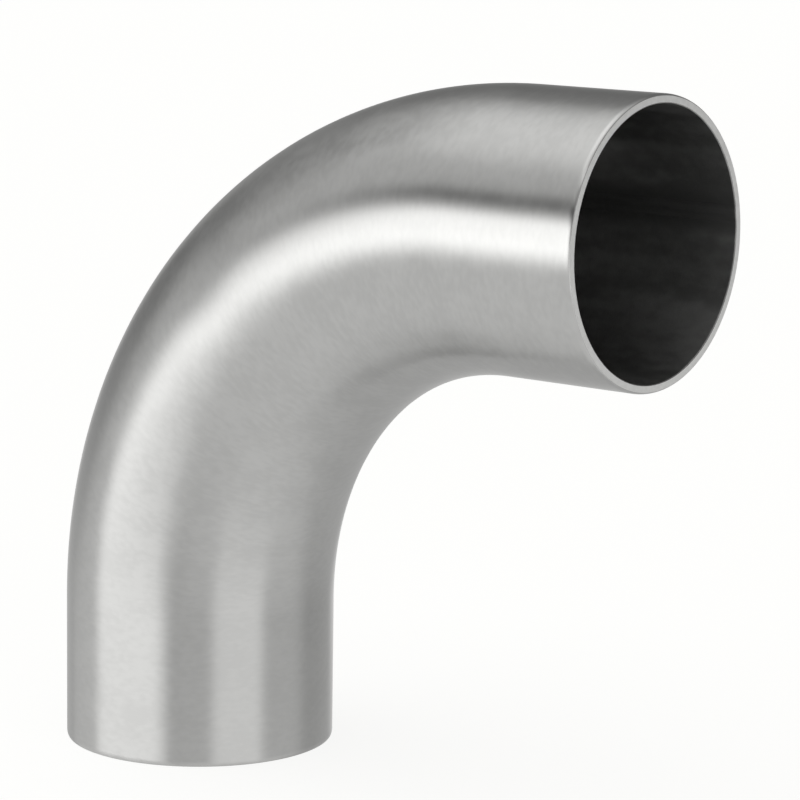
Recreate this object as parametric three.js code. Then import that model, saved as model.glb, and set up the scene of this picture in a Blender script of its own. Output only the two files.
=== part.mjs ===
// A tube elbow: one thin-walled stainless steel tube, bent through ninety degrees
// about 1.5 diameters, with a short straight run and a square-cut end on each side.
//
// Units are millimetres. The origin is the centre of the inlet end face. The inlet
// axis is +Z, the outlet faces +X, and the bend lies in the XZ plane.
import * as THREE from 'three';

// Driving dimensions.
const OUTER_DIAMETER = 50.8;
const WALL = 1.65;
const BEND_RADIUS = 1.5 * OUTER_DIAMETER;
const TANGENT_LENGTH = 27;
const SEAM_WIDTH = 3.4;
const SEAM_CLEARANCE = 0.3;
const SEAM_ANGLE = THREE.MathUtils.degToRad(8);

// Facets: one every ten degrees round the tube, and one every four or five along the bend.
const FACET = THREE.MathUtils.degToRad(10);
const STRAIGHT_STEPS = 1;
const BEND_STEPS = 20;
const SEAM_STEPS = 30;

// Sizes that follow from the driving dimensions.
const OUTER_RADIUS = OUTER_DIAMETER / 2;
const INNER_RADIUS = OUTER_RADIUS - WALL;
const BEND_LENGTH = BEND_RADIUS * Math.PI / 2;
const BEND_START = TANGENT_LENGTH;
const BEND_END = BEND_START + BEND_LENGTH;
const TUBE_LENGTH = BEND_END + TANGENT_LENGTH;

// A stretch of the tube's centreline, from one distance along it to another.
class Centreline extends THREE.Curve {
  constructor(start, end) {
    super();
    this.start = start;
    this.end = end;
  }

  distance(t) {
    return this.start + t * (this.end - this.start);
  }

  // The angle that the tube has turned through at t.
  turn(t) {
    const bent = THREE.MathUtils.clamp(this.distance(t) - BEND_START, 0, BEND_LENGTH);
    return bent / BEND_RADIUS;
  }

  getPoint(t) {
    const angle = this.turn(t);
    const before = Math.min(this.distance(t), BEND_START);
    const after = Math.max(this.distance(t) - BEND_END, 0);
    const x = BEND_RADIUS * (1 - Math.cos(angle)) + after;
    const z = before + BEND_RADIUS * Math.sin(angle);
    return new THREE.Vector3(x, 0, z);
  }

  getTangent(t) {
    const angle = this.turn(t);
    return new THREE.Vector3(Math.sin(angle), 0, Math.cos(angle));
  }

  // The curve is already measured by distance along it.
  getPointAt(u) {
    return this.getPoint(u);
  }

  getTangentAt(u) {
    return this.getTangent(u);
  }

  // A section's x axis stays on +Y, and its y axis points away from the bend's centre.
  computeFrenetFrames(steps) {
    const frames = { tangents: [], normals: [], binormals: [] };
    for (let step = 0; step <= steps; step += 1) {
      const tangent = this.getTangent(step / steps);
      const normal = new THREE.Vector3(0, 1, 0);
      frames.tangents.push(tangent);
      frames.normals.push(normal);
      frames.binormals.push(new THREE.Vector3().crossVectors(tangent, normal));
    }
    return frames;
  }
}

// The angles from one to another, with every whole facet between them.
function facetAngles(from, to) {
  const angles = [from];
  const smallest = FACET / 1000;
  for (let index = Math.ceil(from / FACET); index * FACET < to - smallest; index += 1) {
    if (index * FACET > from + smallest) angles.push(index * FACET);
  }
  angles.push(to);
  return angles;
}

// The wall's section between two angles, counted from +Y towards the outside of the bend.
function wallSection(from, to) {
  const angles = facetAngles(from, to);
  const ring = (radius) => angles.map((angle) => {
    return new THREE.Vector2(radius * Math.cos(angle), radius * Math.sin(angle));
  });
  return new THREE.Shape([...ring(OUTER_RADIUS), ...ring(INNER_RADIUS).reverse()]);
}

function sweep(name, section, path, steps, material) {
  const geometry = new THREE.ExtrudeGeometry(section, { steps, extrudePath: path });
  const mesh = new THREE.Mesh(geometry, material);
  mesh.name = name;
  return mesh;
}

const tubeSteel = new THREE.MeshStandardMaterial({ color: 0xb9b9b7, roughness: 0.32, metalness: 1 });
const weldSteel = new THREE.MeshStandardMaterial({ color: 0xa8a8a6, roughness: 0.42, metalness: 1 });

// The wall of the tube, open along the slot that the seam weld fills.
function tubeStretch(name, start, end, steps) {
  const slotHalfAngle = (SEAM_WIDTH / 2 + SEAM_CLEARANCE) / INNER_RADIUS;
  const section = wallSection(SEAM_ANGLE + slotHalfAngle, SEAM_ANGLE + 2 * Math.PI - slotHalfAngle);
  return sweep(name, section, new Centreline(start, end), steps, tubeSteel);
}

function inletTangent() {
  return tubeStretch('inlet_tangent', 0, BEND_START, STRAIGHT_STEPS);
}

function bend() {
  return tubeStretch('bend', BEND_START, BEND_END, BEND_STEPS);
}

function outletTangent() {
  return tubeStretch('outlet_tangent', BEND_END, TUBE_LENGTH, STRAIGHT_STEPS);
}

// The bead that closes the rolled strip into a tube: through the whole wall, from end to end.
function seamWeld() {
  const halfAngle = SEAM_WIDTH / 2 / INNER_RADIUS;
  const section = wallSection(SEAM_ANGLE - halfAngle, SEAM_ANGLE + halfAngle);
  return sweep('seam_weld', section, new Centreline(0, TUBE_LENGTH), SEAM_STEPS, weldSteel);
}

const elbow = new THREE.Group();
elbow.add(inletTangent(), bend(), outletTangent(), seamWeld());

export default elbow;
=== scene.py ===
"""The looks of a stainless steel tube elbow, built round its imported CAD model.

Lengths are in metres. The inlet's axis is +Z and the outlet's is +X, and the bend lies in the XZ plane.
A place on the tube is a distance along its centreline, from the inlet's end, and an angle round it,
from +Y towards the outside of the bend.
"""

import math

import bpy
import numpy as np
from mathutils import Matrix, Vector


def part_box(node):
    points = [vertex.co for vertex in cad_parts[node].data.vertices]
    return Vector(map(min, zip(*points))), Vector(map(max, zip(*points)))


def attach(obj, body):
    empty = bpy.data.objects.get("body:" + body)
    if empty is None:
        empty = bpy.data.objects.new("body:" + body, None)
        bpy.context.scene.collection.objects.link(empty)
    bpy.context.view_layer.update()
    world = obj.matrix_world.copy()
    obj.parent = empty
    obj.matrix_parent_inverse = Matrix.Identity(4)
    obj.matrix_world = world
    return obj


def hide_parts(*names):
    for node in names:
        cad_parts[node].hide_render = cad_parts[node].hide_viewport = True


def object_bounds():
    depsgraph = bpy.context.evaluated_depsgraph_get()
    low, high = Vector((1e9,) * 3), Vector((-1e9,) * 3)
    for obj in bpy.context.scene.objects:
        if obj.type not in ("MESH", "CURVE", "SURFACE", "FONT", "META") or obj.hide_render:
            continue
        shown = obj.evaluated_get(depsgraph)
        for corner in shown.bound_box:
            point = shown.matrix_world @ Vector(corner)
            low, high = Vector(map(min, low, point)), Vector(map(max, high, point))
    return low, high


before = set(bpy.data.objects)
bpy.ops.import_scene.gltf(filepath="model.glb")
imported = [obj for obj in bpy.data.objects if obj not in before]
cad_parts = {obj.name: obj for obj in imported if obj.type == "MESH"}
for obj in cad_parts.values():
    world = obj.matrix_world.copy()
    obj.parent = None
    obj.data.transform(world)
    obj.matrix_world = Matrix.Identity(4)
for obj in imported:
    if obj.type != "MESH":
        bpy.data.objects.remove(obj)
cad_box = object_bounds()

# Sizes, from the CAD model where its boxes give them.
inlet_low, inlet_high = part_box("inlet_tangent")
outlet_low, outlet_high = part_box("outlet_tangent")
seam_low, seam_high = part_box("seam_weld")
OUTER_RADIUS = -inlet_low[0]
TANGENT = inlet_high[2] - inlet_low[2]
BEND_RADIUS = outlet_low[0]
BEND_LENGTH = BEND_RADIUS * math.pi / 2
TUBE_LENGTH = BEND_LENGTH + 2 * TANGENT

# The seam's two sides, as angles. Its lowest corner in Y is on the inner surface.
SEAM_START = math.acos(seam_high[1] / OUTER_RADIUS)
SEAM_END = math.asin(-seam_low[0] / OUTER_RADIUS)
INNER_RADIUS = seam_low[1] / math.cos(SEAM_END)

# The bead stands proud inside by the crown, with ripples where the weld pool froze.
SEAM_CROWN = 0.00012
SEAM_RIPPLE = 0.000005
SEAM_RIPPLE_PITCH = 0.0015

# How far the sides of a ripple lie from its middle, in ripples.
SEAM_RIPPLE_BOW = 0.4

# The bore is drawn darker this far to each side of the weld.
SEAM_DARK_BAND_WIDTH = 0.0032

# Waves that polishing left in the bend: each one's radians per metre along the tube and per radian round
# it, how far the short one bows, and the depth of each.
SHORT_WAVE = (610, 2)
MIDDLE_WAVE = (370, -3)
LONG_WAVE = (150, 5)
WAVES = 3
WAVE_BOW = 1.3
WAVE_DEPTH = 0.000004

# A shallow flat that bending left: how far round the bend, its angle, its half sizes and its depth.
FLAT_TURN = 0.54
FLAT_ANGLE = math.radians(159)
FLAT_LENGTH = 0.006
FLAT_WIDTH = 0.009
FLAT_DEPTH = 0.00035

# The worked edges of the cut ends: how far each reaches along the tube, and into the wall.
OUTER_EDGE = (0.0010, 0.00035)
INNER_EDGE = (0.00018, 0.00018)

# Mesh steps.
STEPS_ROUND = 192
STEPS_ACROSS_SEAM = 10
STEPS_PER_RIPPLE = 6
STEPS_ALONG_TANGENT = 18
STEPS_ALONG_BEND = 120
STEPS_IN_EDGE = 12

# The camera, and the azimuth that it stands at, from +X towards +Y.
CAMERA_AIM = Vector((0.0481, 0, 0.0702))
CAMERA_AZIMUTH = math.radians(-51.2)
CAMERA_ELEVATION = math.radians(9.7)
CAMERA_ROLL = math.radians(0.85)
CAMERA_DISTANCE = 0.6033
CAMERA_LENS = 151.0
CAMERA_SENSOR_WIDTH = 36
CAMERA_CLIP_START = 0.01

# The floor: half its width, its gap below the tube, its own glow and the tone that takes the shadow.
FLOOR_HALF = 4.0
FLOOR_GAP = 0.00005
FLOOR_GLOW = 0.86
FLOOR_TONE = 0.2

# Every grey is very slightly warm: its blue is this share of its red and green.
BLUE_SHARE = 0.99


def centreline(distance):
    """Points on the centreline, its direction there, and the way out from the bend's centre."""
    turned = np.clip(distance - TANGENT, 0, BEND_LENGTH) / BEND_RADIUS
    before = np.minimum(distance, TANGENT)
    after = np.maximum(distance - TANGENT - BEND_LENGTH, 0)
    none = np.zeros_like(turned)
    x = BEND_RADIUS * (1 - np.cos(turned)) + after
    z = before + BEND_RADIUS * np.sin(turned)
    point = np.stack([x, none, z], -1)
    along = np.stack([np.sin(turned), none, np.cos(turned)], -1)
    outward = np.stack([-np.cos(turned), none, np.sin(turned)], -1)
    return point, along, outward


def radial(distance, angle):
    """The direction straight out of the tube at a place on it."""
    outward = centreline(distance)[2]
    sideways = np.array((0, 1, 0))
    return np.cos(angle)[..., None] * sideways + np.sin(angle)[..., None] * outward


def edge_setback(distance, edge):
    """How far a rounded edge at the two cut ends draws a surface back from the wall's full size."""
    length, depth = edge
    to_end = np.minimum(distance, TUBE_LENGTH - distance)
    inside = np.clip(1 - to_end / length, 0, 1)
    return depth * (1 - np.sqrt(1 - inside**2))


def polish_ripple(distance, angle):
    """Shallow waves that bending and hand polishing leave in the bend, always inwards."""
    turned = np.clip((distance - TANGENT) / BEND_LENGTH, 0, 1)
    window = np.sin(math.pi * turned) ** 2
    waves = (
        np.sin(distance * SHORT_WAVE[0] + WAVE_BOW * np.sin(angle * SHORT_WAVE[1]))
        + np.sin(distance * MIDDLE_WAVE[0] + angle * MIDDLE_WAVE[1])
        + np.sin(distance * LONG_WAVE[0] + angle * LONG_WAVE[1])
    )
    return -WAVE_DEPTH * window * (WAVES + waves)


def bending_flat(distance, angle):
    """The shallow flat on the -Y side of the bend, a little towards its outside, always inwards."""
    along = (distance - TANGENT - FLAT_TURN * BEND_LENGTH) / FLAT_LENGTH
    across = (angle - FLAT_ANGLE) * OUTER_RADIUS / FLAT_WIDTH
    return -FLAT_DEPTH * np.exp(-along**2 - across**2)


def outer_radius(distance, angle):
    worked = polish_ripple(distance, angle) + bending_flat(distance, angle)
    return OUTER_RADIUS - edge_setback(distance, OUTER_EDGE) + worked


def inner_radius(distance, angle):
    return INNER_RADIUS + edge_setback(distance, INNER_EDGE)


def seam_inner_radius(distance, angle):
    """The bead stands proud inside, with soft toes and curved ripples."""
    middle, half = (SEAM_START + SEAM_END) / 2, (SEAM_END - SEAM_START) / 2
    across = np.clip((angle - middle) / half, -1, 1)
    bulge = (1 - across**2) ** 2
    ripple = np.sin(2 * math.pi * (distance / SEAM_RIPPLE_PITCH + SEAM_RIPPLE_BOW * across**2))
    return inner_radius(distance, angle) - bulge * (SEAM_CROWN + SEAM_RIPPLE * ripple)


def surface(radius, distance, angle):
    """Points on a surface of the wall, given its radius as a function of place."""
    point = centreline(distance)[0]
    return point + radius(distance, angle)[..., None] * radial(distance, angle)


def surface_normal(radius, distance, angle):
    """Normals from the surface's own slopes, so that neighbouring stretches agree where they meet."""
    small = 1e-6
    last = TUBE_LENGTH
    ahead, behind = np.minimum(distance + small, last), np.maximum(distance - small, 0)
    along = surface(radius, ahead, angle) - surface(radius, behind, angle)
    turn = small / OUTER_RADIUS
    around = surface(radius, distance, angle + turn) - surface(radius, distance, angle - turn)
    normal = np.cross(around, along)
    return normal / np.linalg.norm(normal, axis=-1, keepdims=True)


def distances(start, end, steps):
    """Even steps along the tube, with closer ones round the edge of a cut end."""
    length = OUTER_EDGE[0]
    turns = np.linspace(0, math.pi / 2, STEPS_IN_EDGE + 1)
    edge = length * (1 - np.cos(turns))
    first, last = [], []
    if start == 0:
        first = list(edge[:-1])
        start = length
    if end == TUBE_LENGTH:
        last = list(TUBE_LENGTH - edge[-2::-1])
        end = TUBE_LENGTH - length
    return np.array(first + list(np.linspace(start, end, steps + 1)) + last)


def wall_piece(name, along, around, outer, inner, materials):
    """A closed piece of the wall: outer and inner surfaces, two ends and two long sides."""
    distance, angle = np.meshgrid(along, around, indexing="ij")
    rows, columns = distance.shape
    grid = np.arange(rows * columns).reshape(rows, columns)
    outside, inside = grid, grid + rows * columns
    points = np.concatenate([
        surface(outer, distance, angle).reshape(-1, 3),
        surface(inner, distance, angle).reshape(-1, 3),
    ])

    def strip(a, b):
        """Quads between two lines of vertices."""
        return np.stack([a[:-1], a[1:], b[1:], b[:-1]], -1).reshape(-1, 4)

    outside_faces = strip(outside[:-1].T, outside[1:].T)
    inside_faces = strip(inside[1:].T, inside[:-1].T)
    end_faces = np.concatenate([strip(inside[0], outside[0]), strip(outside[-1], inside[-1])])
    side_faces = np.concatenate([
        strip(outside[:, 0], inside[:, 0]),
        strip(inside[:, -1], outside[:, -1]),
    ])
    faces = np.concatenate([outside_faces, inside_faces, end_faces, side_faces])
    mesh = bpy.data.meshes.new(name)
    mesh.from_pydata(points.tolist(), [], faces.tolist())
    for material in materials:
        mesh.materials.append(material)
    counts = (len(outside_faces), len(inside_faces), len(end_faces) + len(side_faces))
    mesh.polygons.foreach_set("material_index", np.repeat((0, 1, 2), counts).astype(np.int32))

    corners = faces.reshape(-1)
    normals = np.concatenate([
        surface_normal(outer, distance, angle).reshape(-1, 3),
        -surface_normal(inner, distance, angle).reshape(-1, 3),
    ])
    corner_normals = normals[corners]
    flat = np.zeros(len(mesh.polygons) * 3, np.float32)
    mesh.polygons.foreach_get("normal", flat)
    flat = flat.reshape(-1, 3)
    curved = counts[0] + counts[1]
    corner_normals[curved * 4:] = np.repeat(flat[curved:], 4, axis=0)
    mesh.polygons.foreach_set("use_smooth", np.ones(len(mesh.polygons), bool))

    places = np.stack([distance, angle * OUTER_RADIUS], -1).reshape(-1, 2)
    places = np.concatenate([places, places])
    layer = mesh.uv_layers.new(name="place")
    layer.data.foreach_set("uv", places[corners].astype(np.float32).reshape(-1))
    mesh.normals_split_custom_set(corner_normals.tolist())
    mesh.validate()
    piece = bpy.data.objects.new(name, mesh)
    bpy.context.scene.collection.objects.link(piece)
    return piece


class Nodes:
    """Adds and links the nodes of one shader."""

    def __init__(self, tree):
        self.tree = tree
        tree.nodes.clear()

    def add(self, kind, inputs=None, **settings):
        node = self.tree.nodes.new(kind)
        for key, value in settings.items():
            setattr(node, key, value)
        for key, value in (inputs or {}).items():
            if isinstance(value, bpy.types.NodeSocket):
                self.tree.links.new(value, node.inputs[key])
            else:
                node.inputs[key].default_value = value
        return node

    def math(self, operation, *values, clamp=False):
        node = self.add("ShaderNodeMath", dict(enumerate(values)), operation=operation, use_clamp=clamp)
        return node.outputs[0]

    def ramp(self, value, low, high, to_low=0.0, to_high=1.0):
        """A smooth step from to_low at low to to_high at high."""
        inputs = {"Value": value, "From Min": low, "From Max": high, "To Min": to_low, "To Max": to_high}
        node = self.add("ShaderNodeMapRange", inputs, interpolation_type="SMOOTHSTEP")
        return node.outputs[0]

    def mix(self, factor, a, b):
        node = self.add("ShaderNodeMix", data_type="RGBA")
        for socket, value in ((node.inputs[0], factor), (node.inputs[6], a), (node.inputs[7], b)):
            if isinstance(value, bpy.types.NodeSocket):
                self.tree.links.new(value, socket)
            else:
                socket.default_value = value
        return node.outputs[2]

    def noise(self, vector, scale, detail=2.0, roughness=0.5):
        inputs = {"Vector": vector, "Scale": scale, "Detail": detail, "Roughness": roughness}
        return self.add("ShaderNodeTexNoise", inputs).outputs["Fac"]

    def stretched(self, vector, along, around, offset=0.0):
        """Coordinates in grains of these two sizes."""
        inputs = {"Vector": vector, "Scale": (1 / along, 1 / around, 1), "Location": (offset, offset, 0)}
        return self.add("ShaderNodeMapping", inputs).outputs["Vector"]


def new_material(name):
    material = bpy.data.materials.new(name)
    material.use_nodes = True
    return material, Nodes(material.node_tree)


def grey(value):
    return (value, value, value * BLUE_SHARE, 1.0)


def steel(n, colour, roughness, bump, anisotropic=0.0):
    """A metal shader whose gloss spreads along the tube where it is brushed round it."""
    inputs = {"Base Color": colour, "Metallic": 1.0, "Roughness": roughness, "Normal": bump}
    if anisotropic:
        inputs["Anisotropic"] = anisotropic
        tangent = n.add("ShaderNodeTangent", direction_type="UV_MAP", uv_map="place")
        inputs["Tangent"] = tangent.outputs[0]
    shader = n.add("ShaderNodeBsdfPrincipled", inputs)
    n.add("ShaderNodeOutputMaterial", {"Surface": shader.outputs[0]})


def brushed_steel(name):
    """Satin steel: fine short brush marks round the tube, and the faint cloudiness of hand polishing."""
    material, n = new_material(name)
    place = n.add("ShaderNodeUVMap", uv_map="place").outputs["UV"]
    grain = n.noise(n.stretched(place, 0.00026, 0.0013), 1.0, detail=2.0, roughness=0.55)
    mottle = n.noise(n.stretched(place, 0.0011, 0.0022, offset=3.0), 1.0, detail=1.0)
    clouds = n.noise(n.stretched(place, 0.007, 0.009, offset=7.0), 1.0, detail=3.0)
    height = n.math("ADD", n.math("MULTIPLY", grain, 0.1), n.math("MULTIPLY", mottle, 0.9))
    bump = n.add("ShaderNodeBump", {"Strength": 0.04, "Distance": 0.00002, "Height": height})
    fine = n.ramp(mottle, 0.25, 0.75, 0.288, 0.31)
    broad = n.ramp(clouds, 0.3, 0.7, -0.008, 0.012)
    roughness = n.math("ADD", fine, broad)
    tone = n.math("ADD", n.math("MULTIPLY", mottle, 0.45), n.math("MULTIPLY", clouds, 0.55))
    colour = n.mix(n.ramp(tone, 0.36, 0.64), grey(0.527), grey(0.575))
    steel(n, colour, roughness, bump.outputs[0], anisotropic=0.9)
    return material


def ground_bead_steel(name):
    """The seam outside, ground flush: brushed as the tube is, slightly duller and with coarser marks."""
    material, n = new_material(name)
    place = n.add("ShaderNodeUVMap", uv_map="place").outputs["UV"]
    grain = n.noise(n.stretched(place, 0.00035, 0.002, offset=2.0), 1.0, detail=2.0)
    clouds = n.noise(n.stretched(place, 0.009, 0.003, offset=4.0), 1.0, detail=2.0)
    bump = n.add("ShaderNodeBump", {"Strength": 0.06, "Distance": 0.00002, "Height": grain})
    fine = n.ramp(grain, 0.25, 0.75, 0.35, 0.39)
    broad = n.ramp(clouds, 0.3, 0.7, -0.01, 0.02)
    roughness = n.math("ADD", fine, broad)
    colour = n.mix(n.ramp(clouds, 0.3, 0.7), grey(0.45), grey(0.49))
    steel(n, colour, roughness, bump.outputs[0], anisotropic=0.88)
    return material


def raw_bead_steel(name):
    """The seam inside, as welded: darker than the bore, in faint patches along it."""
    material, n = new_material(name)
    place = n.add("ShaderNodeUVMap", uv_map="place").outputs["UV"]
    bead_patches = n.noise(n.stretched(place, 0.012, 0.0015), 1.0, detail=2.0)
    pits = n.noise(n.stretched(place, 0.0004, 0.0004, offset=6.0), 1.0, detail=2.0)
    bump = n.add("ShaderNodeBump", {"Strength": 0.05, "Distance": 0.00002, "Height": pits})
    roughness = n.ramp(pits, 0.3, 0.7, 0.40, 0.46)
    # The bead is drawn darker than the bore, in faint patches.
    colour = n.mix(n.ramp(bead_patches, 0.3, 0.7), grey(0.15), grey(0.19))
    steel(n, colour, roughness, bump.outputs[0], anisotropic=0.6)
    return material


def bore_steel(name):
    """The inside: duller, and darker in colour as painted shade inside the tube; mottled, in soft bands
    along it and darker beside the weld.
    """
    material, n = new_material(name)
    place = n.add("ShaderNodeUVMap", uv_map="place").outputs["UV"]
    marks = n.noise(n.stretched(place, 0.0005, 0.006), 1.0, detail=2.0)
    bands = n.noise(n.stretched(place, 0.05, 0.005, offset=5.0), 1.0, detail=1.0)
    mottle = n.noise(n.stretched(place, 0.004, 0.003, offset=8.0), 1.0, detail=2.0)
    round_it = n.add("ShaderNodeSeparateXYZ", {"Vector": place}).outputs["Y"]
    past_start = n.math("SUBTRACT", round_it, SEAM_END * OUTER_RADIUS)
    before_end = n.math("SUBTRACT", (SEAM_START + 2 * math.pi) * OUTER_RADIUS, round_it)
    # The bore is drawn darker in a soft band to each side of the weld.
    seam_dark_band = n.ramp(n.math("MINIMUM", past_start, before_end), 0, SEAM_DARK_BAND_WIDTH, 1, 0)
    bump = n.add("ShaderNodeBump", {"Strength": 0.05, "Distance": 0.00003, "Height": marks})
    roughness = n.ramp(bands, 0.3, 0.7, 0.39, 0.43)
    tone = n.math("ADD", n.math("MULTIPLY", bands, 0.5), n.math("MULTIPLY", mottle, 0.5))
    # Painted shade: the bore's grey is drawn darker than the outside's to stand for the shade inside the
    # tube, and mottled at random.
    bore_tone_and_painted_shade = n.mix(n.ramp(tone, 0.35, 0.65), grey(0.28), grey(0.38))
    colour = n.mix(seam_dark_band, bore_tone_and_painted_shade, grey(0.2))
    steel(n, colour, roughness, bump.outputs[0], anisotropic=0.6)
    return material


def cut_steel(name):
    """The faced and deburred ends, finely scratched, and drawn near white, which paints light onto them.
    """
    material, n = new_material(name)
    place = n.add("ShaderNodeTexCoord").outputs["Object"]
    marks = n.noise(place, 1400.0, detail=3.0)
    bump = n.add("ShaderNodeBump", {"Strength": 0.15, "Distance": 0.00002, "Height": marks})
    roughness = n.ramp(marks, 0.3, 0.7, 0.46, 0.56)
    # Painted light: the cut faces are drawn near white, brighter than the steel itself, for the light
    # that they catch.
    colour = n.mix(n.ramp(marks, 0.3, 0.7), grey(0.92), grey(0.97))
    steel(n, colour, roughness, bump.outputs[0])
    return material


cut_end = cut_steel("tube_cut_end")
tube_materials = (brushed_steel("tube_outside"), bore_steel("tube_inside"), cut_end)
bead_materials = (ground_bead_steel("bead_outside"), raw_bead_steel("bead_inside"), cut_end)

tube_angles = np.linspace(SEAM_END, SEAM_START + 2 * math.pi, STEPS_ROUND + 1)
seam_angles = np.linspace(SEAM_START, SEAM_END, STEPS_ACROSS_SEAM + 1)
bend_end = TANGENT + BEND_LENGTH
stretches = {
    "inlet_tangent": distances(0, TANGENT, STEPS_ALONG_TANGENT),
    "bend": distances(TANGENT, bend_end, STEPS_ALONG_BEND),
    "outlet_tangent": distances(bend_end, TUBE_LENGTH, STEPS_ALONG_TANGENT),
}
for node, along in stretches.items():
    piece = wall_piece(node + "_wall", along, tube_angles, outer_radius, inner_radius, tube_materials)
    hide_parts(node)
    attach(piece, "root")

seam_steps = round(TUBE_LENGTH / SEAM_RIPPLE_PITCH * STEPS_PER_RIPPLE)
seam_along = distances(0, TUBE_LENGTH, seam_steps)
bead = wall_piece(
    "seam_weld_bead", seam_along, seam_angles, outer_radius, seam_inner_radius, bead_materials)
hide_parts("seam_weld")
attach(bead, "root")


def pale_floor():
    """A plain pale floor, lit evenly, that takes only a faint shadow."""
    height = cad_box[0][2] - FLOOR_GAP
    signs = ((-1, -1), (1, -1), (1, 1), (-1, 1))
    corners = [(x * FLOOR_HALF, y * FLOOR_HALF, height) for x, y in signs]
    mesh = bpy.data.meshes.new("floor")
    mesh.from_pydata(corners, [], [(0, 1, 2, 3)])
    material, n = new_material("pale_floor")
    glow = n.add("ShaderNodeEmission", {"Color": grey(1.0), "Strength": FLOOR_GLOW})
    matt = n.add("ShaderNodeBsdfDiffuse", {"Color": grey(FLOOR_TONE)})
    both = n.add("ShaderNodeAddShader", {0: glow.outputs[0], 1: matt.outputs[0]})
    n.add("ShaderNodeOutputMaterial", {"Surface": both.outputs[0]})
    mesh.materials.append(material)
    floor = bpy.data.objects.new("floor", mesh)
    floor.visible_glossy = False
    bpy.context.scene.collection.objects.link(floor)


# Soft boxes: azimuth from the camera's side of the object, positive to the camera's right, and
# elevation, each as (middle, half width) in degrees, then the brightness that the box adds and half the
# width of its soft edge. A black flag takes light away instead.
SOFT_BOXES = {
    "left": ((-61, 32.5), (3.5, 14), 1.55, 8),
    "left_floor": ((-80, 56), (-50, 40), 0.24, 5),
    "right_front": ((36, 22), (7, 34), 0.5, 6),
    "right_floor": ((40, 60), (-52, 47), 0.22, 12),
    "behind": ((178, 7.5), (-9, 14), 0.4, 7),
    "behind_low": ((177, 24), (-1.5, 10), 0.4, 4),
    "overhead_left": ((-110, 66), (69, 18), 0.7, 4),
    "high_left": ((-71, 47), (27, 29), 0.44, 13),
    "high_front": ((-5, 24), (47, 5), 1.15, 4),
    "flag_over_left": ((-46, 43), (22, 6.5), -0.78, 2.3),
    "flag_right": ((124, 23), (-2, 8), -0.17, 5),
}

# The room's own brightness: below and above the horizon, and what it gains overhead. Each change comes
# between two elevations in degrees.
BELOW, ABOVE, OVERHEAD = 0.58, 0.2, 0.82
HORIZON = (-5, 5)
OVERHEAD_RISE = (38, 78)


def studio_light():
    """Soft boxes in a dim room over a pale floor. The camera sees plain white behind the object."""
    world = bpy.data.worlds.new("studio")
    bpy.context.scene.world = world
    world.use_nodes = True
    n = Nodes(world.node_tree)
    direction = n.add("ShaderNodeTexCoord").outputs["Generated"]
    split = n.add("ShaderNodeSeparateXYZ", {"Vector": direction}).outputs
    to_degrees = math.degrees(1)
    azimuth = n.math("MULTIPLY", n.math("ARCTAN2", split["Y"], split["X"]), to_degrees)
    elevation = n.math("MULTIPLY", n.math("ARCSINE", split["Z"]), to_degrees)
    horizon = n.ramp(elevation, *HORIZON, BELOW, ABOVE)
    ceiling = n.ramp(elevation, *OVERHEAD_RISE, 0, OVERHEAD)
    light = n.math("ADD", horizon, ceiling)
    for (middle, half_width), (height, half_height), brightness, edge in SOFT_BOXES.values():
        turned = n.math("SUBTRACT", azimuth, math.degrees(CAMERA_AZIMUTH) + middle)
        sideways = n.math("ABSOLUTE", n.math("WRAP", turned, 180, -180))
        upwards = n.math("ABSOLUTE", n.math("SUBTRACT", elevation, height))
        across = n.ramp(sideways, half_width - edge, half_width + edge, 1, 0)
        down = n.ramp(upwards, half_height - edge, half_height + edge, 1, 0)
        box = n.math("MULTIPLY", n.math("MULTIPLY", across, down), brightness)
        light = n.math("ADD", light, box)
    light = n.math("MAXIMUM", light, 0.0)
    room = n.add("ShaderNodeBackground", {"Color": grey(1.0), "Strength": light})
    white = n.add("ShaderNodeBackground", {"Color": grey(1.0), "Strength": 1.0})
    seen = n.add("ShaderNodeLightPath").outputs["Is Camera Ray"]
    both = n.add("ShaderNodeMixShader", {0: seen, 1: room.outputs[0], 2: white.outputs[0]})
    n.add("ShaderNodeOutputWorld", {"Surface": both.outputs[0]})


def camera():
    """Looks at the aim from the azimuth and elevation, with a slight roll."""
    flat = math.cos(CAMERA_ELEVATION)
    back = Vector((
        math.cos(CAMERA_AZIMUTH) * flat, math.sin(CAMERA_AZIMUTH) * flat, math.sin(CAMERA_ELEVATION)))
    data = bpy.data.cameras.new("camera")
    data.lens = CAMERA_LENS
    data.sensor_width = CAMERA_SENSOR_WIDTH
    data.clip_start = CAMERA_CLIP_START
    body = bpy.data.objects.new("camera", data)
    turn = back.to_track_quat("Z", "Y").to_matrix().to_4x4()
    roll = Matrix.Rotation(CAMERA_ROLL, 4, "Z")
    body.matrix_world = Matrix.Translation(CAMERA_AIM + back * CAMERA_DISTANCE) @ turn @ roll
    bpy.context.scene.collection.objects.link(body)
    bpy.context.scene.camera = body


pale_floor()
studio_light()
camera()
bpy.context.scene.view_settings.view_transform = "Standard"
